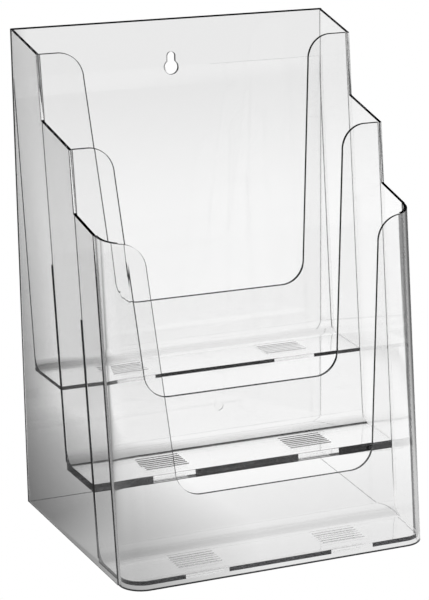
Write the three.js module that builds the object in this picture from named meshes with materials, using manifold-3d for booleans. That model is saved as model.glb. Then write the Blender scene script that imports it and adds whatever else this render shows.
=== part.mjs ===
// Clear moulded three-tier leaflet rack (A4 portrait), standing on a counter or hung on a wall.
// Millimetres. X is right seen from the front, +Y is the rear, +Z is up.
// The origin is the middle of the footprint, on the table.
//
// Every pocket wall leans back by the same angle. The side panels converge slightly to the front.
// Each wall and floor is its own solid, and a thin bond line is left between neighbours.

import * as THREE from "three";
import { mergeVertices } from "three/addons/utils/BufferGeometryUtils.js";
import Module from "manifold-3d";

const wasm = await Module();
wasm.setup();

// ---- driving dimensions ----
const WIDTH = 232; // outside width at the rear panel
const HEIGHT = 340; // table to the rear panel's top edge
const DEPTH = 188.5; // rear face to the foot of the front panel
const WALL = 2.2; // all walls
const BOND = 0.3; // bond line between neighbouring solids
const LEAN = Math.tan(THREE.MathUtils.degToRad(6.8)); // pocket walls, run per rise
const TAPER = 0.04; // each side panel moves in by this much per mm forward
const TOP_FALL = Math.tan(THREE.MathUtils.degToRad(12)); // side top edges fall to the front

const Y_REAR = DEPTH / 2; // rear face of the rear panel
const PITCH = 48.9; // front face to front face, one pocket
const FOOT_FRONT = -DEPTH / 2; // front faces of the walls, where they would meet the table
const FOOT_MIDDLE = FOOT_FRONT + PITCH;
const FOOT_REAR = FOOT_MIDDLE + PITCH;
const FOOT_BACK = FOOT_REAR + PITCH + 2.2;

const FLOOR_REAR_Z = 107.5; // top faces of the three pocket floors
const FLOOR_MIDDLE_Z = 55.7;
const FLOOR_FRONT_Z = 6;
const FLOOR_REAR_T = 2.6;
const FLOOR_MIDDLE_T = 5.5;
const FLOOR_FRONT_T = 3;
const COVE_R = 8; // fillet from a floor up to the wall behind it
const COVE_LIP = 0.5; // thickness left at the top of that fillet

const STEP_MIDDLE_Z = 285.8; // side panel height where each lower tier starts
const STEP_FRONT_Z = 234;
const FRONT_CORNER_R = 16; // rounded vertical corners of the front pocket
const REAR_EDGE_R = 1.5; // outer vertical edges of the rear panel
const BACK_WALL_EDGE = 0.6; // thickness of the back wall's tapered top edge

const NOTCH_HALF = 70.4; // half width of the finger cut-out at its lower corners
const NOTCH_DRAFT = 0.083; // widening per mm upward
const NOTCH_R = 17; // lower corners
const NOTCH_TOP_R = 17.5; // where the cut-out meets the top edge
const NOTCH_REAR_Z = 159; // lowest level of each cut-out
const NOTCH_MIDDLE_Z = 107.6;
const NOTCH_FRONT_Z = 57.6;

const KEY_BIG_R = 5; // keyhole: round part
const KEY_BIG_Z = 305.6;
const KEY_SLOT_R = 2.8; // keyhole: narrow part above it
const KEY_SLOT_Z = 313.6;

const PAD_REAR_X = 60; // centre of each ribbed patch from the middle plane
const PAD_MIDDLE_X = 53;
const PAD_FRONT_X = 52;
const PAD_W = 30.5;
const RIB_COUNT = 7;
const RIB_PITCH = 3.5;
const RIB_W = 1.2;
const RIB_H = 0.6;
const RIB_ROOT = 0.4; // sunk into the floor so that the join is solid

const GATE_R = 3.2; // moulding gate mark on the rear divider
const GATE_Z = 80.5;
const GATE_DEEP = 0.5;

// ---- helpers ----
const wallY = (foot, z) => foot + LEAN * z; // front face of a leaning wall at a height
const halfOut = (y) => WIDTH / 2 - TAPER * (Y_REAR - y); // outer face of a side panel
const halfIn = (y) => halfOut(y) - WALL - BOND; // room between the side panels
const sideTop = (y, z0, y0) => z0 - TOP_FALL * (y0 - y); // top edge that starts at (y0, z0)
// height where that top edge meets the front face of a leaning wall
const meetTop = (foot, z0, y0) => (z0 - TOP_FALL * (y0 - foot)) / (1 - TOP_FALL * LEAN);

function toManifold(geometry) {
  const g = geometry.clone();
  g.deleteAttribute("normal");
  g.deleteAttribute("uv");
  const m = mergeVertices(g, 1e-4);
  return new wasm.Manifold(
    new wasm.Mesh({
      numProp: 3,
      vertProperties: new Float32Array(m.attributes.position.array),
      triVerts: new Uint32Array(m.index.array),
    }),
  );
}

function toGeometry(solid) {
  const mesh = solid.getMesh();
  const g = new THREE.BufferGeometry();
  g.setAttribute("position", new THREE.BufferAttribute(new Float32Array(mesh.vertProperties), 3));
  g.setIndex(new THREE.BufferAttribute(new Uint32Array(mesh.triVerts), 1));
  g.computeVertexNormals();
  return g;
}

function outline(points) {
  const shape = new THREE.Shape();
  points.forEach(([a, b], i) => (i ? shape.lineTo(a, b) : shape.moveTo(a, b)));
  shape.closePath();
  return shape;
}

// points of an arc, angles in degrees
function arc(cx, cy, r, from, to, steps = 8) {
  const list = [];
  for (let i = 0; i <= steps; i++) {
    const a = THREE.MathUtils.degToRad(from + ((to - from) * i) / steps);
    list.push([cx + r * Math.cos(a), cy + r * Math.sin(a)]);
  }
  return list;
}

const extrude = (points, depth) =>
  new THREE.ExtrudeGeometry(outline(points), { depth, bevelEnabled: false, curveSegments: 12 });

// outline in (x, z), pushed through Y from y0 to y1
function alongY(points, y0, y1) {
  const g = extrude(points, y1 - y0);
  g.rotateX(Math.PI / 2);
  g.translate(0, y1, 0);
  return g;
}

// outline in (y, z), pushed through X from x0 to x1
function alongX(points, x0, x1) {
  const g = extrude(points, x1 - x0);
  g.applyMatrix4(new THREE.Matrix4().set(0, 0, 1, x0, 1, 0, 0, 0, 0, 1, 0, 0, 0, 0, 0, 1));
  return g;
}

// moves every corner of a geometry with a rule (x, y, z) -> [x, y, z]
function reshape(geometry, rule) {
  const p = geometry.attributes.position;
  for (let i = 0; i < p.count; i++) {
    p.setXYZ(i, ...rule(p.getX(i), p.getY(i), p.getZ(i)));
  }
  return geometry;
}

// where each tier's sloping top edge starts behind, and the level it falls to in front
const STEP_MIDDLE_Y = wallY(FOOT_REAR, STEP_MIDDLE_Z);
const STEP_FRONT_Y = wallY(FOOT_MIDDLE, STEP_FRONT_Z);
const REAR_TOP_Z = meetTop(FOOT_REAR, HEIGHT, Y_REAR);
const MIDDLE_TOP_Z = meetTop(FOOT_MIDDLE, STEP_MIDDLE_Z, STEP_MIDDLE_Y);
const FRONT_TOP_Z = meetTop(FOOT_FRONT, STEP_FRONT_Z, STEP_FRONT_Y);

// ---- shared shapes ----
// finger cut-out in (x, z): narrow at the bottom, with flared ends at the wall's top edge
function notch(bottomZ, topZ) {
  const lowZ = bottomZ + NOTCH_R;
  const highZ = topZ - NOTCH_TOP_R;
  const highX = NOTCH_HALF + NOTCH_DRAFT * (highZ - lowZ);
  const half = [
    ...arc(NOTCH_HALF - NOTCH_R, lowZ, NOTCH_R, -90, 0),
    ...arc(highX + NOTCH_TOP_R, highZ, NOTCH_TOP_R, 180, 90),
    [highX + NOTCH_TOP_R, topZ + 40],
  ];
  const mirrored = half.map(([x, z]) => [-x, z]).reverse();
  return toManifold(alongY([...half, ...mirrored], -DEPTH, DEPTH));
}

function keyhole() {
  const big = toManifold(alongY(arc(0, KEY_BIG_Z, KEY_BIG_R, 0, 345, 23), 0, DEPTH));
  const slot = [
    [-KEY_SLOT_R, KEY_BIG_Z],
    [KEY_SLOT_R, KEY_BIG_Z],
    ...arc(0, KEY_SLOT_Z, KEY_SLOT_R, 0, 180, 12),
  ];
  return big.add(toManifold(alongY(slot, 0, DEPTH)));
}

// leaning plate between the side panels, from z0 to z1
function leaningWall(foot, z0, z1) {
  const box = [
    [-1, z0],
    [1, z0],
    [1, z1],
    [-1, z1],
  ];
  return reshape(alongY(box, 0, WALL), (x, y, z) => {
    const front = wallY(foot, z);
    return [x * halfIn(front), front + y, z];
  });
}

// pocket floor: slab that runs under the wall behind it, with a cove in front of that wall
function floorSlab(footBehind, footAhead, topZ, thick) {
  const lowZ = topZ - thick;
  const rearY = wallY(footBehind, topZ) + WALL;
  const frontY = wallY(footAhead, topZ) + WALL + BOND;
  const face = wallY(footBehind, topZ) - BOND;
  const cove = arc(0, 0, COVE_R, 180, 270).map(([out, up]) => {
    const rise = COVE_R + up;
    return [face + LEAN * rise - COVE_LIP - COVE_R - out, topZ + rise];
  });
  const profile = [
    [rearY - LEAN * thick, lowZ],
    [rearY, topZ],
    [face, topZ],
    [face + LEAN * COVE_R, topZ + COVE_R],
    ...cove,
    [frontY, topZ],
    [frontY - LEAN * thick, lowZ],
  ];
  return toManifold(reshape(alongX(profile, -1, 1), (x, y, z) => [x * halfIn(y), y, z]));
}

// fine ribs across the middle of a floor, one patch on each side
function addRibs(solid, footBehind, footAhead, topZ, padX) {
  const middleY = (wallY(footBehind, topZ) + wallY(footAhead, topZ) + WALL) / 2;
  let result = solid;
  for (const side of [-1, 1]) {
    for (let i = 0; i < RIB_COUNT; i++) {
      const y = middleY + RIB_PITCH * (i - (RIB_COUNT - 1) / 2);
      const rib = new THREE.BoxGeometry(PAD_W, RIB_W, RIB_H + RIB_ROOT);
      rib.translate(side * padX, y, topZ + (RIB_H - RIB_ROOT) / 2);
      result = result.add(toManifold(rib));
    }
  }
  return result;
}

// ---- the pieces ----
function rearPanel() {
  const w = WIDTH / 2;
  const r = REAR_EDGE_R;
  const plan = [
    [-w, Y_REAR - WALL],
    [w, Y_REAR - WALL],
    ...arc(w - r, Y_REAR - r, r, 0, 90, 4),
    ...arc(-w + r, Y_REAR - r, r, 90, 180, 4),
  ];
  return toManifold(extrude(plan, HEIGHT)).subtract(keyhole());
}

function sidePanel(side) {
  const frontEdge = (z) => wallY(FOOT_FRONT, z) + FRONT_CORNER_R + BOND;
  const yBack = Y_REAR - WALL - BOND;
  const frontTopZ = meetTop(FOOT_FRONT + FRONT_CORNER_R + BOND, STEP_FRONT_Z, STEP_FRONT_Y);
  const profile = [
    [yBack, 0],
    [yBack, sideTop(yBack, HEIGHT, Y_REAR)],
    [wallY(FOOT_REAR, REAR_TOP_Z), REAR_TOP_Z],
    [STEP_MIDDLE_Y, STEP_MIDDLE_Z],
    [wallY(FOOT_MIDDLE, MIDDLE_TOP_Z), MIDDLE_TOP_Z],
    [STEP_FRONT_Y, STEP_FRONT_Z],
    [frontEdge(frontTopZ), frontTopZ],
    [frontEdge(0), 0],
  ];
  const x0 = side > 0 ? -WALL : 0;
  const panel = alongX(profile, x0, x0 + WALL);
  return toManifold(reshape(panel, (x, y, z) => [x + side * halfOut(y), y, z]));
}

function rearDivider() {
  const wall = toManifold(leaningWall(FOOT_REAR, FLOOR_MIDDLE_Z + BOND, REAR_TOP_Z));
  const mark = new THREE.CylinderGeometry(GATE_R, GATE_R, 2 * GATE_DEEP, 24);
  mark.translate(0, wallY(FOOT_REAR, GATE_Z), GATE_Z);
  return wall.subtract(notch(NOTCH_REAR_Z, REAR_TOP_Z)).subtract(toManifold(mark));
}

function middleDivider() {
  const wall = toManifold(leaningWall(FOOT_MIDDLE, FLOOR_FRONT_Z + BOND, MIDDLE_TOP_Z));
  return wall.subtract(notch(NOTCH_MIDDLE_Z, MIDDLE_TOP_Z));
}

// leaning back wall of the rear pocket, wedged against the rear panel at its top
function backWall() {
  const limit = Y_REAR - WALL - BOND;
  const z0 = FLOOR_REAR_Z + BOND;
  const topZ = (limit - BACK_WALL_EDGE - FOOT_BACK) / LEAN;
  const touchZ = (limit - WALL - FOOT_BACK) / LEAN;
  const profile = [
    [wallY(FOOT_BACK, z0), z0],
    [wallY(FOOT_BACK, z0) + WALL, z0],
    [limit, touchZ],
    [limit, topZ],
    [wallY(FOOT_BACK, topZ), topZ],
  ];
  const wall = reshape(alongX(profile, -1, 1), (x, y, z) => [x * halfIn(y), y, z]);
  return toManifold(wall).subtract(keyhole());
}

// front pocket wall with its two rounded corners and short returns
function frontPanel() {
  const w = halfOut(FOOT_FRONT);
  const r = FRONT_CORNER_R;
  const ri = r - WALL;
  const plan = [
    ...arc(w - r, FOOT_FRONT + r, r, -90, 0, 12),
    ...arc(w - r, FOOT_FRONT + r, ri, 0, -90, 12),
    ...arc(-w + r, FOOT_FRONT + r, ri, -90, -180, 12),
    ...arc(-w + r, FOOT_FRONT + r, r, -180, -90, 12),
  ];
  const wall = reshape(extrude(plan, STEP_FRONT_Z), (x, y, z) => {
    const grow = halfOut(wallY(FOOT_FRONT, z)) / w;
    return [x * grow, y + LEAN * z, z];
  });
  const aboveTop = [
    [Y_REAR, sideTop(Y_REAR, STEP_FRONT_Z, STEP_FRONT_Y)],
    [Y_REAR, HEIGHT],
    [-DEPTH, HEIGHT],
    [-DEPTH, sideTop(-DEPTH, STEP_FRONT_Z, STEP_FRONT_Y)],
  ];
  const sloped = toManifold(wall).subtract(toManifold(alongX(aboveTop, -WIDTH, WIDTH)));
  return sloped.subtract(notch(NOTCH_FRONT_Z, FRONT_TOP_Z));
}

function rearFloor() {
  const slab = floorSlab(FOOT_BACK, FOOT_REAR, FLOOR_REAR_Z, FLOOR_REAR_T);
  return addRibs(slab, FOOT_BACK, FOOT_REAR, FLOOR_REAR_Z, PAD_REAR_X);
}

function middleFloor() {
  const slab = floorSlab(FOOT_REAR, FOOT_MIDDLE, FLOOR_MIDDLE_Z, FLOOR_MIDDLE_T);
  return addRibs(slab, FOOT_REAR, FOOT_MIDDLE, FLOOR_MIDDLE_Z, PAD_MIDDLE_X);
}

// the front floor follows the rounded corners of the front panel
function frontFloor() {
  const slab = floorSlab(FOOT_MIDDLE, FOOT_FRONT, FLOOR_FRONT_Z, FLOOR_FRONT_T);
  const inset = WALL + BOND;
  const r = FRONT_CORNER_R - inset;
  const w = halfOut(FOOT_FRONT) - inset;
  const y = FOOT_FRONT + FRONT_CORNER_R;
  const back = FOOT_MIDDLE + 20;
  const plan = [
    ...arc(w - r, y, r, -90, 0, 12),
    [WIDTH / 2, y + 4],
    [WIDTH / 2, back],
    [-WIDTH / 2, back],
    [-WIDTH / 2, y + 4],
    ...arc(-w + r, y, r, 180, 270, 12),
  ];
  const limit = reshape(extrude(plan, 30), (x, yy, z) => [x, yy + LEAN * z, z]);
  const trimmed = slab.intersect(toManifold(limit));
  return addRibs(trimmed, FOOT_MIDDLE, FOOT_FRONT, FLOOR_FRONT_Z, PAD_FRONT_X);
}

// ---- assembly ----
const clear = () =>
  new THREE.MeshStandardMaterial({
    color: 0xeef1f2,
    roughness: 0.05,
    metalness: 0,
    transparent: true,
    opacity: 0.35,
    side: THREE.DoubleSide,
  });

const rack = new THREE.Group();
rack.name = "magazine_rack";

function place(name, solid) {
  const mesh = new THREE.Mesh(toGeometry(solid), clear());
  mesh.name = name;
  rack.add(mesh);
}

place("rear_panel", rearPanel());
place("left_side_panel", sidePanel(-1));
place("right_side_panel", sidePanel(1));
place("front_panel", frontPanel());
place("back_wall", backWall());
place("rear_divider", rearDivider());
place("middle_divider", middleDivider());
place("rear_floor", rearFloor());
place("middle_floor", middleFloor());
place("front_floor", frontFloor());

export default rack;
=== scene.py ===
"""Clear three-tier leaflet rack on a pale sweep, lit softly from behind and below.

Lengths are in millimetres until a mesh is made. X is right seen from the front, +Y is the rear,
+Z is up, and the origin is the middle of the footprint on the table, as in the CAD frame.
"""

import math

import bmesh
import bpy
from mathutils import Matrix, Vector


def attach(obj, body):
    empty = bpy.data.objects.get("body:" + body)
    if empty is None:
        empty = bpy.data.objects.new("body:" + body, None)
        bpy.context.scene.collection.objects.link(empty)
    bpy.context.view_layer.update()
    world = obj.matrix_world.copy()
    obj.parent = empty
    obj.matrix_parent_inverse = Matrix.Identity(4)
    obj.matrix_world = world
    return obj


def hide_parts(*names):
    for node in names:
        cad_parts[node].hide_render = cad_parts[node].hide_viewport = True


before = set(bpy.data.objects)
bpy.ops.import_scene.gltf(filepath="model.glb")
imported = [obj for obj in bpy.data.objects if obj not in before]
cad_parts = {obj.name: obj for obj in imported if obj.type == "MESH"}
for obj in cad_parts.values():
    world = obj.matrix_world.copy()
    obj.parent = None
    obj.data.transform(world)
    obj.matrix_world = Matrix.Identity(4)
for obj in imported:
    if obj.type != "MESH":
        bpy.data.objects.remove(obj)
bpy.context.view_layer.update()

MM = 0.001

# ---- driving dimensions, the same as the CAD part's ----
WIDTH = 232.0
HEIGHT = 340.0
DEPTH = 188.5
WALL = 2.2
BOND = 0.3
LEAN = math.tan(math.radians(6.8))
TAPER = 0.04
TOP_FALL = math.tan(math.radians(12))
Y_REAR = DEPTH / 2
PITCH = 48.9
FOOT_FRONT = -DEPTH / 2
FOOT_MIDDLE = FOOT_FRONT + PITCH
FOOT_REAR = FOOT_MIDDLE + PITCH
FOOT_BACK = FOOT_REAR + PITCH + 2.2
FLOOR_REAR = (107.5, 2.6)  # top face, thickness
FLOOR_MIDDLE = (55.7, 5.5)
FLOOR_FRONT = (6.0, 3.0)
COVE_R = 8.0
COVE_LIP = 0.2
STEP_MIDDLE_Z = 285.8
STEP_FRONT_Z = 234.0
FRONT_CORNER_R = 16.0
REAR_EDGE_R = 1.5
BACK_WALL_EDGE = 0.6
NOTCH_HALF = 70.4
NOTCH_DRAFT = 0.083
NOTCH_R = 17.0
NOTCH_TOP_R = 17.5
NOTCH_REAR_Z = 159.0
NOTCH_MIDDLE_Z = 107.6
NOTCH_FRONT_Z = 57.6
KEY_BIG_R = 5.0
KEY_BIG_Z = 305.6
KEY_SLOT_R = 2.8
KEY_SLOT_Z = 313.6
PAD_REAR_X = 60.0
PAD_MIDDLE_X = 53.0
PAD_FRONT_X = 52.0
PAD_W = 30.5
RIB_COUNT = 7
RIB_PITCH = 3.5
RIB_R = 0.6
RIB_ROOT = 0.4
GATE_R = 3.2
GATE_Z = 80.5
GATE_DEEP = 0.5
FRONT_END = 8.0  # a floor's front end lies within this of the front face of the wall ahead

# ---- finish of the moulding ----
PANEL_EDGE_R = 0.6  # softened edges of the rear panel
WALL_EDGE_R = 0.45  # the same for the side panels, the front panel and the dividers
BACK_EDGE_R = 0.25  # the same for the back wall, which thins toward its top
FLOOR_EDGE_R = 0.2  # the same for the floors' front ends
EDGE_STEPS = 3
SHARP = math.radians(30)  # an edge that turns by more than this is softened
CREASE = math.radians(38)  # an edge that turns by more than this is shaded sharp
ARC_STEPS = 20  # segments of an arc, where none are given

# ---- tolerances ----
CLEAR = 1.0  # keeps a rule or a cut off the face beside it
NEAR = 0.01  # keeps a rule off a level that faces lie on
WELD = 0.002 * MM  # corners closer than this are one
SLIVER = 0.08 * MM  # shorter edges are removed after a boolean
ON_PLANE = NEAR * MM  # corners this close to a cutting plane count as on it
FACING = 0.9  # part of a face's unit normal along an axis, when it looks that way


# ---- geometry helpers ----
def wall_y(foot, z):
    """Front face of a leaning wall at a height."""
    return foot + LEAN * z


def half_out(y):
    """Outer face of a side panel, from the middle plane."""
    return WIDTH / 2 - TAPER * (Y_REAR - y)


def half_in(y):
    """Room between the side panels, from the middle plane."""
    return half_out(y) - WALL - BOND


def meet_top(foot, z0, y0):
    """Height where the sloping top edge that starts at (y0, z0) meets a leaning face."""
    return (z0 - TOP_FALL * (y0 - foot)) / (1 - TOP_FALL * LEAN)


STEP_MIDDLE_Y = wall_y(FOOT_REAR, STEP_MIDDLE_Z)
STEP_FRONT_Y = wall_y(FOOT_MIDDLE, STEP_FRONT_Z)
REAR_TOP_Z = meet_top(FOOT_REAR, HEIGHT, Y_REAR)
MIDDLE_TOP_Z = meet_top(FOOT_MIDDLE, STEP_MIDDLE_Z, STEP_MIDDLE_Y)
FRONT_TOP_Z = meet_top(FOOT_FRONT, STEP_FRONT_Z, STEP_FRONT_Y)


def arc(cx, cy, r, start, end, steps=ARC_STEPS):
    """Points of an arc, with both ends. Angles are in degrees."""
    angles = [math.radians(start + (end - start) * i / steps) for i in range(steps + 1)]
    return [(cx + r * math.cos(a), cy + r * math.sin(a)) for a in angles]


def mirrored(points):
    """The same points on the other side of the middle plane, in reverse order."""
    return [(-x, z) for x, z in reversed(points)]


def prism(outline, place):
    """Faces of a closed prism, from an outline and the rule that places its two ends."""
    ends = [[place(u, v, end) for u, v in outline] for end in (0, 1)]
    sides = [
        [ends[0][i - 1], ends[0][i], ends[1][i], ends[1][i - 1]]
        for i in range(len(outline))
    ]
    return [ends[0], ends[1], *sides]


def strip(one, two):
    """Quads between two rows of corners."""
    return [[one[i], one[i + 1], two[i + 1], two[i]] for i in range(len(one) - 1)]


def solid(name, faces):
    """A closed mesh object from its faces, each a list of corners."""
    bm = bmesh.new()
    for corners in faces:
        bm.faces.new([bm.verts.new(Vector(c) * MM) for c in corners])
    bmesh.ops.remove_doubles(bm, verts=bm.verts, dist=WELD)
    bmesh.ops.recalc_face_normals(bm, faces=bm.faces)
    mesh = bpy.data.meshes.new(name)
    bm.to_mesh(mesh)
    bm.free()
    made = bpy.data.objects.new(name, mesh)
    bpy.context.scene.collection.objects.link(made)
    return made


def bake_modifiers(obj):
    """Makes an object's modifiers part of its mesh."""
    graph = bpy.context.evaluated_depsgraph_get()
    mesh = bpy.data.meshes.new_from_object(obj.evaluated_get(graph))
    obj.modifiers.clear()
    obj.data = mesh


def soften(obj, radius, where=None):
    """Rounds the sharp edges: all of them, or those that a rule on both ends picks."""
    bm = bmesh.new()
    bm.from_mesh(obj.data)
    sharp = [
        e
        for e in bm.edges
        if e.calc_face_angle(0.0) > SHARP
        and (where is None or where(*[v.co / MM for v in e.verts]))
    ]
    bmesh.ops.bevel(
        bm,
        geom=sharp,
        offset=radius * MM,
        offset_type="OFFSET",
        segments=EDGE_STEPS,
        profile=0.5,
        affect="EDGES",
        clamp_overlap=True,
        miter_outer="ARC",
    )
    bmesh.ops.dissolve_degenerate(bm, dist=WELD, edges=bm.edges)
    bm.to_mesh(obj.data)
    bm.free()


def combine(obj, tool, operation):
    """Boolean of obj with tool, which is used up."""
    mod = obj.modifiers.new("combine", "BOOLEAN")
    mod.operation = operation
    mod.solver = "EXACT"
    mod.object = tool
    bake_modifiers(obj)
    bpy.data.objects.remove(tool)
    bm = bmesh.new()
    bm.from_mesh(obj.data)
    bmesh.ops.dissolve_degenerate(bm, dist=SLIVER, edges=bm.edges)
    bm.to_mesh(obj.data)
    bm.free()


# ---- shared shapes ----
def notch_side(bottom_z, top_z):
    """Right half of a finger cut-out, from its top edge down to the middle plane."""
    low_z = bottom_z + NOTCH_R
    high_z = top_z - NOTCH_TOP_R
    high_x = NOTCH_HALF + NOTCH_DRAFT * (high_z - low_z)
    return [
        *arc(high_x + NOTCH_TOP_R, high_z, NOTCH_TOP_R, 90, 180),
        *arc(NOTCH_HALF - NOTCH_R, low_z, NOTCH_R, 0, -90),
    ]


def leaning_wall(name, foot, z0, z1, notch_z):
    """Pocket wall between the side panels, with its finger cut-out."""
    x0 = half_in(wall_y(foot, z0))
    x1 = half_in(wall_y(foot, z1))
    side = notch_side(notch_z, z1)
    outline = [(-x0, z0), (x0, z0), (x1, z1), *side, *mirrored(side), (-x1, z1)]
    return solid(
        name, prism(outline, lambda x, z, end: (x, wall_y(foot, z) + end * WALL, z))
    )


def above(level):
    """Rule for edges that reach higher than a leaning wall's square foot."""
    return lambda p, q: max(p.z, q.z) > level + CLEAR


def ahead_of(limit_y):
    """Rule for edges that lie wholly in front of a place."""
    return lambda p, q: max(p.y, q.y) < limit_y


def floor_slab(name, foot_behind, foot_ahead, top_z, thick, reach=0.0):
    """Pocket floor that runs under the wall behind it, with a cove in front of that wall.

    reach makes it longer toward the front.
    """
    rear_y = wall_y(foot_behind, top_z) + WALL
    front_y = wall_y(foot_ahead, top_z) + WALL + BOND - reach
    face = wall_y(foot_behind, top_z) - BOND
    cove = [
        (face + LEAN * (COVE_R + up) - COVE_LIP - COVE_R - out, top_z + COVE_R + up)
        for out, up in arc(0, 0, COVE_R, 180, 270)
    ]
    outline = [
        (rear_y - LEAN * thick, top_z - thick),
        (rear_y, top_z),
        (face, top_z),
        (face + LEAN * COVE_R, top_z + COVE_R),
        *cove,
        (front_y, top_z),
        (front_y - LEAN * thick, top_z - thick),
    ]
    return solid(
        name, prism(outline, lambda y, z, end: ((2 * end - 1) * half_in(y), y, z))
    )


def add_ribs(obj, foot_behind, foot_ahead, top_z, pad_x):
    """Fine half-round ribs across the middle of a floor, one patch on each side."""
    middle_y = (wall_y(foot_behind, top_z) + wall_y(foot_ahead, top_z) + WALL) / 2
    faces = []
    for side in (-1, 1):
        for i in range(RIB_COUNT):
            y = middle_y + RIB_PITCH * (i - (RIB_COUNT - 1) / 2)
            outline = [
                (y - RIB_R, top_z - RIB_ROOT),
                (y + RIB_R, top_z - RIB_ROOT),
                *arc(y, top_z, RIB_R, 0, 180, steps=8),
            ]
            left = side * pad_x - PAD_W / 2
            faces += prism(
                outline, lambda v, z, end, left=left: (left + end * PAD_W, v, z)
            )
    combine(obj, solid("ribs", faces), "UNION")


# ---- the pieces ----
def rear_panel():
    """Upright panel with rounded rear edges and the keyhole, built as two halves."""
    w = WIDTH / 2
    r = REAR_EDGE_R
    front_y = Y_REAR - WALL
    neck = math.degrees(math.acos(KEY_SLOT_R / KEY_BIG_R))
    hole = [
        *arc(0, KEY_BIG_Z, KEY_BIG_R, -90, neck, steps=24),
        *arc(0, KEY_SLOT_Z, KEY_SLOT_R, 0, 90, steps=12),
    ]
    faces = []
    for side in (-1, 1):
        for y, half in ((front_y, w), (Y_REAR, w - r)):
            border = [(0, 0), (half, 0), (half, HEIGHT), (0, HEIGHT), *reversed(hole)]
            faces.append([(side * x, y, z) for x, z in border])
        near = [(side * x, front_y, z) for x, z in hole]
        far = [(side * x, Y_REAR, z) for x, z in hole]
        faces += strip(near, far)
        turn = [(w, front_y), *arc(w - r, Y_REAR - r, r, 0, 90, steps=8)]
        low = [(side * x, y, 0) for x, y in turn]
        high = [(side * x, y, HEIGHT) for x, y in turn]
        faces += strip(low, high)
        faces.append([(0, front_y, 0), *low, (0, Y_REAR, 0)])
        faces.append([(0, front_y, HEIGHT), *high, (0, Y_REAR, HEIGHT)])
    made = solid("rear_panel_moulded", faces)
    soften(made, PANEL_EDGE_R)
    return made


def side_panel(side, name):
    """Stepped side panel. side is -1 for the left one and 1 for the right one."""
    inset = FRONT_CORNER_R + BOND
    back_y = Y_REAR - WALL - BOND
    front_top_z = meet_top(FOOT_FRONT + inset, STEP_FRONT_Z, STEP_FRONT_Y)
    outline = [
        (back_y, 0),
        (back_y, HEIGHT - TOP_FALL * (Y_REAR - back_y)),
        (wall_y(FOOT_REAR, REAR_TOP_Z), REAR_TOP_Z),
        (STEP_MIDDLE_Y, STEP_MIDDLE_Z),
        (wall_y(FOOT_MIDDLE, MIDDLE_TOP_Z), MIDDLE_TOP_Z),
        (STEP_FRONT_Y, STEP_FRONT_Z),
        (wall_y(FOOT_FRONT, front_top_z) + inset, front_top_z),
        (FOOT_FRONT + inset, 0),
    ]
    made = solid(
        name, prism(outline, lambda y, z, end: (side * (half_out(y) - end * WALL), y, z))
    )
    soften(made, WALL_EDGE_R)
    return made


def rear_divider():
    """Wall between the rear and middle pockets, with the round gate mark."""
    z0 = FLOOR_MIDDLE[0] + BOND
    made = leaning_wall(
        "rear_divider_moulded", FOOT_REAR, z0, REAR_TOP_Z, NOTCH_REAR_Z
    )
    soften(made, WALL_EDGE_R, above(z0))
    face_y = wall_y(FOOT_REAR, GATE_Z)
    disc = arc(0, GATE_Z, GATE_R, 0, 360, steps=48)[:-1]
    mark = solid(
        "gate_mark",
        prism(disc, lambda x, z, end: (x, face_y + (2 * end - 1) * GATE_DEEP, z)),
    )
    combine(made, mark, "DIFFERENCE")
    return made


def middle_divider():
    """Wall between the middle and front pockets."""
    z0 = FLOOR_FRONT[0] + BOND
    made = leaning_wall(
        "middle_divider_moulded", FOOT_MIDDLE, z0, MIDDLE_TOP_Z, NOTCH_MIDDLE_Z
    )
    soften(made, WALL_EDGE_R, above(z0))
    return made


def back_wall():
    """Leaning back wall of the rear pocket, wedged against the rear panel at its top."""
    limit = Y_REAR - WALL - BOND
    z0 = FLOOR_REAR[0] + BOND
    y0 = wall_y(FOOT_BACK, z0)
    top_z = (limit - BACK_WALL_EDGE - FOOT_BACK) / LEAN
    touch_z = (limit - WALL - FOOT_BACK) / LEAN
    top_y = wall_y(FOOT_BACK, top_z)
    open_angle = math.degrees(math.asin((top_z - KEY_BIG_Z) / KEY_BIG_R))
    bite = arc(0, KEY_BIG_Z, KEY_BIG_R, open_angle, -180 - open_angle, steps=40)
    near = [(x, wall_y(FOOT_BACK, z), z) for x, z in bite]
    far = [(x, limit, z) for x, z in bite]
    low_near = [(s * half_in(y0), y0, z0) for s in (-1, 1)]
    low_far = [(s * half_in(y0 + WALL), y0 + WALL, z0) for s in (-1, 1)]
    bend = [(s * half_in(limit), limit, touch_z) for s in (-1, 1)]
    high_near = [(s * half_in(top_y), top_y, top_z) for s in (-1, 1)]
    high_far = [(s * half_in(limit), limit, top_z) for s in (-1, 1)]
    faces = [
        [*low_near, high_near[1], *near, high_near[0]],
        [low_far[0], low_far[1], bend[1], bend[0]],
        [*bend, high_far[1], *far, high_far[0]],
        [low_near[0], low_near[1], low_far[1], low_far[0]],
        [high_near[1], near[0], far[0], high_far[1]],
        [high_near[0], near[-1], far[-1], high_far[0]],
        *strip(near, far),
        *[[low_near[i], low_far[i], bend[i], high_far[i], high_near[i]] for i in (0, 1)],
    ]
    made = solid("back_wall_moulded", faces)
    off_foot = above(z0)
    soften(made, BACK_EDGE_R, lambda p, q: off_foot(p, q) and min(p.z, q.z) < touch_z - CLEAR)
    return made


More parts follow.
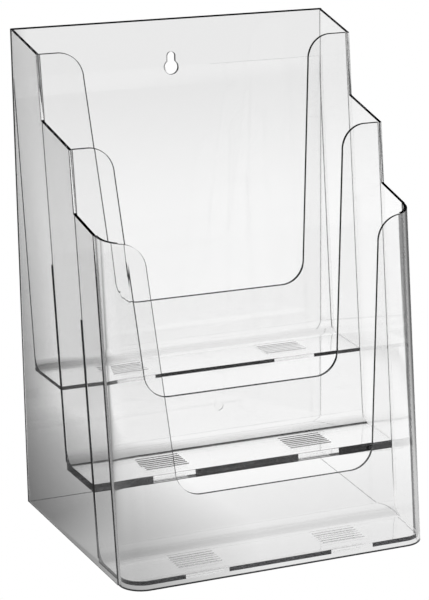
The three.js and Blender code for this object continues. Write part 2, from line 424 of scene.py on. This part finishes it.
def front_panel():
    """Front pocket wall with its two rounded corners and short returns."""
    w = half_out(FOOT_FRONT)
    r = FRONT_CORNER_R
    bend_y = FOOT_FRONT + r

    def at(x, y, z):
        return (x * half_out(wall_y(FOOT_FRONT, z)) / w, y + LEAN * z, z)

    def low(x, y):
        return at(x, y, 0)

    def high(x, y):
        return at(x, y, meet_top(y, STEP_FRONT_Z, STEP_FRONT_Y))

    rows = []
    for radius in (r, r - WALL):
        turn = arc(w - r, bend_y, radius, 0, -90, steps=24)
        rows.append([*turn, *[(-x, y) for x, y in reversed(turn)]])
    outer, inner = rows
    faces = []
    for row in rows:
        faces += strip([low(*p) for p in row], [high(*p) for p in row])
    for level in (low, high):
        faces += strip([level(*p) for p in outer], [level(*p) for p in inner])
    for i in (0, -1):
        ends = [low(*outer[i]), high(*outer[i]), high(*inner[i]), low(*inner[i])]
        faces.append(ends)
    made = solid("front_panel_moulded", faces)
    side = notch_side(NOTCH_FRONT_Z, FRONT_TOP_Z)
    side = [(side[0][0], HEIGHT), *side]
    cut = prism([*side, *mirrored(side)], lambda x, z, end: (x, (2 * end - 1) * DEPTH, z))
    combine(made, solid("front_cut_out", cut), "DIFFERENCE")
    soften(made, WALL_EDGE_R)
    return made


def rear_floor():
    """Floor of the rear pocket."""
    made = floor_slab("rear_floor_moulded", FOOT_BACK, FOOT_REAR, *FLOOR_REAR)
    soften(made, FLOOR_EDGE_R, ahead_of(wall_y(FOOT_REAR, FLOOR_REAR[0]) + FRONT_END))
    add_ribs(made, FOOT_BACK, FOOT_REAR, FLOOR_REAR[0], PAD_REAR_X)
    return made


def middle_floor():
    """Floor of the middle pocket, the thickest of the three."""
    made = floor_slab("middle_floor_moulded", FOOT_REAR, FOOT_MIDDLE, *FLOOR_MIDDLE)
    soften(made, FLOOR_EDGE_R, ahead_of(wall_y(FOOT_MIDDLE, FLOOR_MIDDLE[0]) + FRONT_END))
    add_ribs(made, FOOT_REAR, FOOT_MIDDLE, FLOOR_MIDDLE[0], PAD_MIDDLE_X)
    return made


def front_floor():
    """Bottom floor, which follows the rounded corners of the front panel."""
    spare = 5  # the slab starts this much too long, and is then cut to the corners
    made = floor_slab(
        "front_floor_moulded", FOOT_MIDDLE, FOOT_FRONT, *FLOOR_FRONT, reach=spare
    )
    inset = WALL + BOND
    r = FRONT_CORNER_R - inset
    w = half_out(FOOT_FRONT) - inset
    y = FOOT_FRONT + FRONT_CORNER_R
    flare_y = y + 4  # the limit is wider than the floor behind this
    back_y = FOOT_MIDDLE + 20
    high = 30
    right = [*arc(w - r, y, r, -90, 0), (WIDTH / 2, flare_y), (WIDTH / 2, back_y)]
    plan = [*right, *mirrored(right)]
    limit = prism(plan, lambda a, b, end: (a, b + LEAN * high * end, high * end))
    combine(made, solid("floor_limit", limit), "INTERSECT")
    soften(made, FLOOR_EDGE_R, ahead_of(y + CLEAR))
    add_ribs(made, FOOT_MIDDLE, FOOT_FRONT, FLOOR_FRONT[0], PAD_FRONT_X)
    return made


# ---- plastics, some of them tinted as painted shade ----
def clear_plastic(name, glass=(1, 1, 1), wave=0.0, ior=1.585):
    """Clear moulded polystyrene: glassy, with a very slight unevenness where wave is given. A dark
    glass tint at ior 1.0 makes it painted shade.
    """
    mat = bpy.data.materials.new(name)
    mat.use_nodes = True
    nodes = mat.node_tree.nodes
    links = mat.node_tree.links
    shader = nodes["Principled BSDF"]
    shader.inputs["Base Color"].default_value = (*glass, 1)
    shader.inputs["Roughness"].default_value = 0.01
    shader.inputs["IOR"].default_value = ior
    shader.inputs["Transmission Weight"].default_value = 1.0
    noise = nodes.new("ShaderNodeTexNoise")
    noise.inputs["Scale"].default_value = 14
    noise.inputs["Detail"].default_value = 1.5
    where = nodes.new("ShaderNodeTexCoord")
    links.new(where.outputs["Object"], noise.inputs["Vector"])
    bump = nodes.new("ShaderNodeBump")
    bump.inputs["Strength"].default_value = wave
    bump.inputs["Distance"].default_value = 0.001
    links.new(noise.outputs["Fac"], bump.inputs["Height"])
    links.new(bump.outputs["Normal"], shader.inputs["Normal"])
    return mat


def cove_painted_shade_plastic(name):
    """The same plastic on a floor's cove, with painted shade: tinted by how far its surface faces up,
    greyest low in the cove near the floor.
    """
    mat = clear_plastic(name)
    nodes = mat.node_tree.nodes
    links = mat.node_tree.links
    where = nodes.new("ShaderNodeNewGeometry")
    split = nodes.new("ShaderNodeSeparateXYZ")
    ramp = nodes.new("ShaderNodeValToRGB")
    links.new(where.outputs["Normal"], split.inputs["Vector"])
    links.new(split.outputs["Z"], ramp.inputs["Fac"])
    ramp.color_ramp.interpolation = "EASE"
    stops = ramp.color_ramp.elements
    stops[0].color = (1, 1, 1, 1)
    stops[-1].color = (0.9, 0.9, 0.9, 1)
    # painted shade levels: clear where the cove still faces forward, greyest low in the cove
    for upward, level in ((0.5, 1.0), (0.85, 0.75), (0.97, 0.82)):
        stops.new(upward).color = (level, level, level, 1)
    links.new(ramp.outputs["Color"], nodes["Principled BSDF"].inputs["Base Color"])
    return mat


# The first is for all faces that no rule picks, and the others are for one rule each.
# Light doesn't bend where it crosses a bonded face, and the two dark ones absorb it: they are
# painted shade, standing in for the dark lines that light makes along the clear plastic's edges.
# The cove one is painted shade too, greyer low in the cove.
PLASTICS = (
    clear_plastic("clear_wall", wave=0.02),
    clear_plastic("edge_painted_shade", glass=(0.02, 0.0205, 0.021), ior=1.0),
    clear_plastic("edge_painted_deep_shade", glass=(0.004, 0.004, 0.0045), ior=1.0),
    cove_painted_shade_plastic("cove_painted_shade"),
    clear_plastic("clear_bond", ior=1.0),
)


def finish_piece(obj, node, edge=None, dark=None, cove=None, bond=None):
    """Gives a piece its plastics, puts it on the root body and hides the CAD node that it stands in
    for.

    Each rule says, from a face's centre and normal, whether the face takes that plastic. A later
    rule wins over an earlier one. The edge and dark rules pick the faces that get painted shade,
    and the cove rule picks those that get the cove's painted shade.
    """
    mesh = obj.data
    mesh.materials.clear()
    for mat in PLASTICS:
        mesh.materials.append(mat)
    bm = bmesh.new()
    bm.from_mesh(mesh)
    for face in bm.faces:
        face.smooth = True
        face.material_index = 0
        centre = face.calc_center_median() / MM
        for index, rule in enumerate((edge, dark, cove, bond), start=1):
            if rule and rule(centre, face.normal):
                face.material_index = index
    for crease in bm.edges:
        crease.smooth = crease.calc_face_angle(0.0) < CREASE
    bm.to_mesh(mesh)
    bm.free()
    even = obj.modifiers.new("flat_faces", "WEIGHTED_NORMAL")
    even.keep_sharp = True
    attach(obj, "root")
    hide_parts(node)


def split_at(obj, *planes):
    """Cuts the faces of obj along planes, each given by a point on it and its normal."""
    bm = bmesh.new()
    bm.from_mesh(obj.data)
    for point, normal in planes:
        whole = [*bm.verts, *bm.edges, *bm.faces]
        place = Vector(point) * MM
        bmesh.ops.bisect_plane(bm, geom=whole, dist=ON_PLANE, plane_co=place, plane_no=normal)
    bm.to_mesh(obj.data)
    bm.free()
    return obj


def level_cut(z):
    return ((0, 0, z), (0, 0, 1))


def cross_cut(x):
    return ((x, 0, 0), (1, 0, 0))


# ---- rules: c is a face's centre, in millimetres, and n its normal ----
NOTCH_LEFT = (-91, -30)  # the left side of a cut-out lies between these, from the middle plane
NOTCH_SIDES = 90  # the front cut-out's upright sides lie within this of the middle plane
NOTCH_END = 98  # the front panel's level top edge starts farther out than this
CORNER_X = 100  # farther out than this, a wall's or panel's outer end begins
FRONT_FOOT = 0.5  # height of the front panel's foot, which gets painted deep shade
JOINT_SHADE_REACH = 0.9  # how far the painted shade line at a joint reaches past a wall, on each side
# foot of each wall that is joined to a side panel, and where the painted shade along its joint starts
# and ends
JOINT_SHADES = ((FOOT_REAR, FLOOR_MIDDLE[0], 190), (FOOT_MIDDLE, FLOOR_FRONT[0], 165))
COVE_FROM = 35  # a floor's cove and last rib lie farther than this behind the wall ahead


def left_notch(c, n):
    """The left side and the left top of a finger cut-out, which get painted deep shade."""
    start, end = NOTCH_LEFT
    cut = abs(n.y) < 0.98 and max(n.x, n.z) > 0.2
    return cut and c.x < end and (c.x > start or n.z > 0.2)


def panel_rim(c, n):
    """The rear panel's rim and keyhole, which get painted edge shade."""
    return abs(n.y) < FACING


# painted deep shade on the rear panel's top and around its keyhole
def panel_top_and_keyhole(c, n):
    keyhole = panel_rim(c, n) and abs(c.x) < 2 * KEY_BIG_R and c.z > HEIGHT / 2
    return c.z > HEIGHT - CLEAR or keyhole


# painted edge shade on a side panel's foot
def side_foot(c, n):
    return n.z < -0.5


def side_top_and_joint_shades(c, n):
    """A side panel's stepped top, and the lower joints on the inner face of the left one: both get
    painted deep shade.
    """
    return n.z > 0.3 or n.x > FACING and c.x < 0 and in_joint_shade(c)


def in_joint_shade(c):
    """Beside a leaning wall's end, in the lower part where the joint gets painted shade."""
    return any(
        low < c.z < top and -JOINT_SHADE_REACH < c.y - wall_y(foot, c.z) < WALL + JOINT_SHADE_REACH
        for foot, low, top in JOINT_SHADES
    )


def joint_shade_planes():
    """Cuts that outline the painted shade along the joints on a side panel."""
    planes = []
    for foot, low, top in JOINT_SHADES:
        planes += [((0, foot + off, 0), (0, 1, -LEAN)) for off in (-JOINT_SHADE_REACH, WALL + JOINT_SHADE_REACH)]
        planes += [level_cut(low), level_cut(top)]
    return planes


# painted edge shade on the front panel's top and on the sides of its cut-out
def front_top_and_cut(c, n):
    return abs(n.x) > 0.5 and abs(c.x) < NOTCH_SIDES or n.z > 0.4


def front_painted_shade(c, n):
    """The front panel's foot, the outer parts of its top and a strip at its right corner: painted deep
    shade, the strip standing in for the dark band that the rounded corner shows.
    """
    outer_top = n.z > 0.3 and abs(c.x) > NOTCH_END
    right_corner = n.x > 0.96 and c.x > CORNER_X
    return c.z < FRONT_FOOT or outer_top or right_corner or left_notch(c, n)


# painted deep shade on the back wall's outer ends
def back_wall_ends(c, n):
    return abs(n.x) > 0.3 and abs(c.x) > CORNER_X


def divider_edge(low_z, half):
    """Rule for a divider's narrow faces above a level and within a half width, which get painted edge
    shade.
    """
    return lambda c, n: abs(n.y) <= 0.95 and c.z > low_z and abs(c.x) < half


def on_bond(top_z):
    """Rule for a leaning wall's faces that are bonded to the floor and to its cove."""
    return lambda c, n: n.z < -FACING or c.z < top_z + COVE_R and n.y < -FACING


def back_wall_bond(c, n):
    """The same for the back wall, and its narrow faces that look up."""
    return n.z > 0.5 or on_bond(FLOOR_REAR[0])(c, n)


def floor_rules(top_z, pad_x, foot, foot_behind):
    """Rules for a floor, from its top level, its patches and the feet of its two walls."""
    wall_face = wall_y(foot_behind, top_z) - BOND
    is_middle = foot == FOOT_MIDDLE

    def at_front(c, n):
        return n.y < -0.7 and c.y < wall_y(foot, c.z) + FRONT_END

    def edge(c, n):
        """The stretch of the middle floor's front end that lies between its patches, which gets painted
        edge shade.
        """
        return is_middle and at_front(c, n) and abs(c.x) < pad_x - CLEAR

    def dark(c, n):
        """The front end beside the patches, and the left end: painted deep shade."""
        beside_pad = abs(abs(c.x) - pad_x) > PAD_W / 2
        outside = not is_middle or abs(c.x) > pad_x - CLEAR
        left_end = n.x < -0.7 and c.x < -pad_x - PAD_W
        return at_front(c, n) and beside_pad and outside or left_end

    def cove(c, n):
        """The curve up to the wall behind, and the front of the last rib, which get the cove's painted
        shade.
        """
        curved = n.y < 0.1 and n.z > 0.5 and abs(n.x) < 0.5
        return curved and c.z > top_z + NEAR and c.y > wall_y(foot, top_z) + COVE_FROM

    def bond(c, n):
        """Under and against the wall behind, and below the cove but for the middle floor."""
        at_wall = c.y > wall_face - NEAR and top_z - NEAR < c.z < top_z + COVE_R - NEAR
        rear_end = n.y > FACING and c.z < top_z
        underside = n.z < -FACING and c.y > wall_face - COVE_R - CLEAR
        below_cove = not is_middle and (rear_end or underside)
        return at_wall and max(n.y, n.z) > FACING or below_cove

    return {"edge": edge, "dark": dark, "cove": cove, "bond": bond}


def floor_cuts(top_z, pad_x, foot_behind):
    """Cuts at the ends of the ribbed patches and in front of the cove."""
    ends = [side * pad_x + end * PAD_W / 2 for side in (-1, 1) for end in (-1, 1)]
    cove_start = wall_y(foot_behind, top_z) - BOND - COVE_R - CLEAR
    return [*[cross_cut(x) for x in ends], ((0, cove_start, 0), (0, 1, 0))]


# ---- finished pieces ----
finish_piece(
    split_at(rear_panel(), level_cut(HEIGHT - CLEAR)),
    "rear_panel",
    edge=panel_rim,
    dark=panel_top_and_keyhole,
)
for side, name in ((-1, "left_side_panel"), (1, "right_side_panel")):
    finish_piece(
        split_at(side_panel(side, name + "_moulded"), *joint_shade_planes()),
        name,
        edge=side_foot,
        dark=side_top_and_joint_shades,
    )
finish_piece(
    split_at(front_panel(), level_cut(FRONT_FOOT)),
    "front_panel",
    edge=front_top_and_cut,
    dark=front_painted_shade,
)
finish_piece(
    split_at(back_wall(), level_cut(FLOOR_REAR[0] + COVE_R)),
    "back_wall",
    dark=back_wall_ends,
    bond=back_wall_bond,
)
for make, name, floor, low_z, half in (
    (rear_divider, "rear_divider", FLOOR_MIDDLE, 100, 108),
    (middle_divider, "middle_divider", FLOOR_FRONT, 25, 106),
):
    finish_piece(
        split_at(make(), level_cut(floor[0] + COVE_R)),
        name,
        edge=divider_edge(low_z, half),
        dark=left_notch,
        bond=on_bond(floor[0]),
    )
for make, name, floor, pad_x, foot, foot_behind in (
    (rear_floor, "rear_floor", FLOOR_REAR, PAD_REAR_X, FOOT_REAR, FOOT_BACK),
    (middle_floor, "middle_floor", FLOOR_MIDDLE, PAD_MIDDLE_X, FOOT_MIDDLE, FOOT_REAR),
    (front_floor, "front_floor", FLOOR_FRONT, PAD_FRONT_X, FOOT_FRONT, FOOT_MIDDLE),
):
    finish_piece(
        split_at(make(), *floor_cuts(floor[0], pad_x, foot_behind)),
        name,
        **floor_rules(floor[0], pad_x, foot, foot_behind),
    )


# ---- stage: lengths are in metres from here on ----
def set_or_link(tree, socket, value):
    """Gives a socket a number, or links it to the output of another node."""
    if isinstance(value, float):
        socket.default_value = value
    else:
        tree.links.new(value, socket)


def mapped(tree, value, low, high, to_low, to_high, kind="LINEAR"):
    """Output of a node that maps a value from one range to another."""
    node = tree.nodes.new("ShaderNodeMapRange")
    node.interpolation_type = kind
    tree.links.new(value, node.inputs["Value"])
    for socket, level in (
        ("From Min", low),
        ("From Max", high),
        ("To Min", to_low),
        ("To Max", to_high),
    ):
        set_or_link(tree, node.inputs[socket], level)
    return node.outputs["Result"]


def maths(tree, kind, one, two):
    """Output of a node that works on a value and on a second value or number."""
    node = tree.nodes.new("ShaderNodeMath")
    node.operation = kind
    tree.links.new(one, node.inputs[0])
    set_or_link(tree, node.inputs[1], two)
    return node.outputs["Value"]


def position(tree):
    """The X and Y outputs of where a surface is."""
    where = tree.nodes.new("ShaderNodeNewGeometry")
    split = tree.nodes.new("ShaderNodeSeparateXYZ")
    tree.links.new(where.outputs["Position"], split.inputs["Vector"])
    return split.outputs["X"], split.outputs["Y"]


def white_to_eye(tree, unseen):
    """Full level to the eye, and the level unseen to light that met the rack first."""
    path = tree.nodes.new("ShaderNodeLightPath")
    return mapped(tree, path.outputs["Is Camera Ray"], 0.0, 1.0, unseen, 1.0)


def glow(name, unseen):
    """Even light that looks white. unseen builds its level to light that met the rack first."""
    mat = bpy.data.materials.new(name)
    mat.use_nodes = True
    tree = mat.node_tree
    tree.nodes.clear()
    out = tree.nodes.new("ShaderNodeOutputMaterial")
    light = tree.nodes.new("ShaderNodeEmission")
    light.inputs["Color"].default_value = (1, 1, 1, 1)
    tree.links.new(white_to_eye(tree, unseen(tree)), light.inputs["Strength"])
    tree.links.new(light.outputs["Emission"], out.inputs["Surface"])
    return mat


def flat(name, z, points, material):
    """Level stage surface from its corners."""
    mesh = bpy.data.meshes.new(name)
    mesh.from_pydata([Vector((x, y, z)) for x, y in points], [], [tuple(range(len(points)))])
    mesh.materials.append(material)
    made = bpy.data.objects.new(name, mesh)
    bpy.context.scene.collection.objects.link(made)


def floor_level(tree):
    """Level by direction from the rack: dim in front, and dimmest beside the sweep."""
    where = tree.nodes.new("ShaderNodeNewGeometry")
    around = tree.nodes.new("ShaderNodeTexGradient")
    around.gradient_type = "RADIAL"
    tree.links.new(where.outputs["Position"], around.inputs["Vector"])
    ramp = tree.nodes.new("ShaderNodeValToRGB")
    tree.links.new(around.outputs["Fac"], ramp.inputs["Fac"])
    stops = ramp.color_ramp.elements
    side, front, beside_sweep = 0.6, 0.3, 0.12
    half_turn = ((0.07, side), (0.14, front), (0.36, front), (0.43, side), (0.5, side))
    for turn, level in (*half_turn, (0.57, beside_sweep), (0.93, beside_sweep)):
        stops.new(turn).color = (level, level, level, 1)
    for stop in (stops[0], stops[-1]):
        stop.color = (side, side, side, 1)
    return ramp.outputs["Color"]


def sweep_level(tree):
    """Brightest in the middle, with a soft shadow from the rack's rear left corner."""
    x, y = position(tree)
    near = mapped(tree, y, -0.1, 0.15, 0.85, 1.03, "SMOOTHSTEP")
    away = mapped(tree, y, 0.7, 1.8, 1.0, 0.85, "SMOOTHSTEP")
    lit = maths(tree, "MULTIPLY", near, away)
    # distance to the right of the shadow's left edge, which leans by this much per metre back
    shadow_lean = 0.2993
    shadow_start = 0.1442
    leaning_x = maths(tree, "SUBTRACT", x, maths(tree, "MULTIPLY", y, shadow_lean))
    lateral = maths(tree, "ADD", leaning_x, shadow_start)
    darkest = mapped(tree, y, 0.0, 1.4, 0.12, 0.72)
    width = mapped(tree, y, 0.0, 0.3, 0.16, 0.035)
    rising = mapped(tree, lateral, 0.0, width, darkest, 1.0)
    shadow = mapped(tree, lateral, -0.03, -0.002, 1.0, rising)
    return maths(tree, "MULTIPLY", lit, shadow)


FAR = 12.0
SWEEP_REAR = 6.0
flat(
    "floor",
    -0.0006,
    [(-FAR, -FAR), (FAR, -FAR), (FAR, FAR), (-FAR, FAR)],
    glow("pale_floor", floor_level),
)
# the lit sweep lies under the rack and widens behind it, a hair above the floor
flat(
    "bright_sweep",
    -0.0003,
    [(-0.114, -0.094), (0.109, -0.094), (3.6, SWEEP_REAR), (-2.3, SWEEP_REAR), (-0.118, 0.094)],
    glow("bright_sweep", sweep_level),
)


def studio_world():
    """White to the eye. To other light: bright low behind the rack, dimmer in front, dark elsewhere."""
    world = bpy.data.worlds.new("studio")
    bpy.context.scene.world = world
    world.use_nodes = True
    tree = world.node_tree
    light = tree.nodes["Background"]
    light.inputs["Color"].default_value = (1, 1, 1, 1)
    where = tree.nodes.new("ShaderNodeTexCoord")
    split = tree.nodes.new("ShaderNodeSeparateXYZ")
    tree.links.new(where.outputs["Generated"], split.inputs["Vector"])
    rear = mapped(tree, split.outputs["Y"], 0.55, 0.85, 0.12, 1.0, "SMOOTHSTEP")
    low = mapped(tree, split.outputs["Z"], 0.34, 0.5, 1.0, 0.05, "SMOOTHSTEP")
    front = mapped(tree, split.outputs["Y"], -0.55, -0.85, 0.0, 0.4, "SMOOTHSTEP")
    level = maths(tree, "ADD", maths(tree, "MULTIPLY", rear, low), front)
    tree.links.new(white_to_eye(tree, level), light.inputs["Strength"])


studio_world()

# ---- camera ----
azimuth = math.radians(-22.1583)
elevation = math.radians(15.1906)
roll = math.radians(-0.7501)
back_dir = Vector(
    (
        math.sin(azimuth) * math.cos(elevation),
        -math.cos(azimuth) * math.cos(elevation),
        math.sin(elevation),
    )
)
level_right = Vector((math.cos(azimuth), math.sin(azimuth), 0))
level_up = back_dir.cross(level_right)
right = math.cos(roll) * level_right + math.sin(roll) * level_up
up = -math.sin(roll) * level_right + math.cos(roll) * level_up
place = Vector((-0.5237, -1.26805, 0.5322))
camera_data = bpy.data.cameras.new("camera")
camera_data.sensor_width = 36  # with the lens, in millimetres
camera_data.lens = 125.75
camera = bpy.data.objects.new("camera", camera_data)
bpy.context.scene.collection.objects.link(camera)
camera.matrix_world = Matrix(
    (
        (right.x, up.x, back_dir.x, place.x),
        (right.y, up.y, back_dir.y, place.y),
        (right.z, up.z, back_dir.z, place.z),
        (0, 0, 0, 1),
    )
)
bpy.context.scene.camera = camera

scene = bpy.context.scene
scene.view_settings.view_transform = "Standard"
scene.cycles.max_bounces = 32
scene.cycles.transmission_bounces = 32
scene.cycles.glossy_bounces = 16
scene.cycles.transparent_max_bounces = 16
scene.cycles.use_denoising = True
scene.cycles.caustics_reflective = True
scene.cycles.caustics_refractive = True
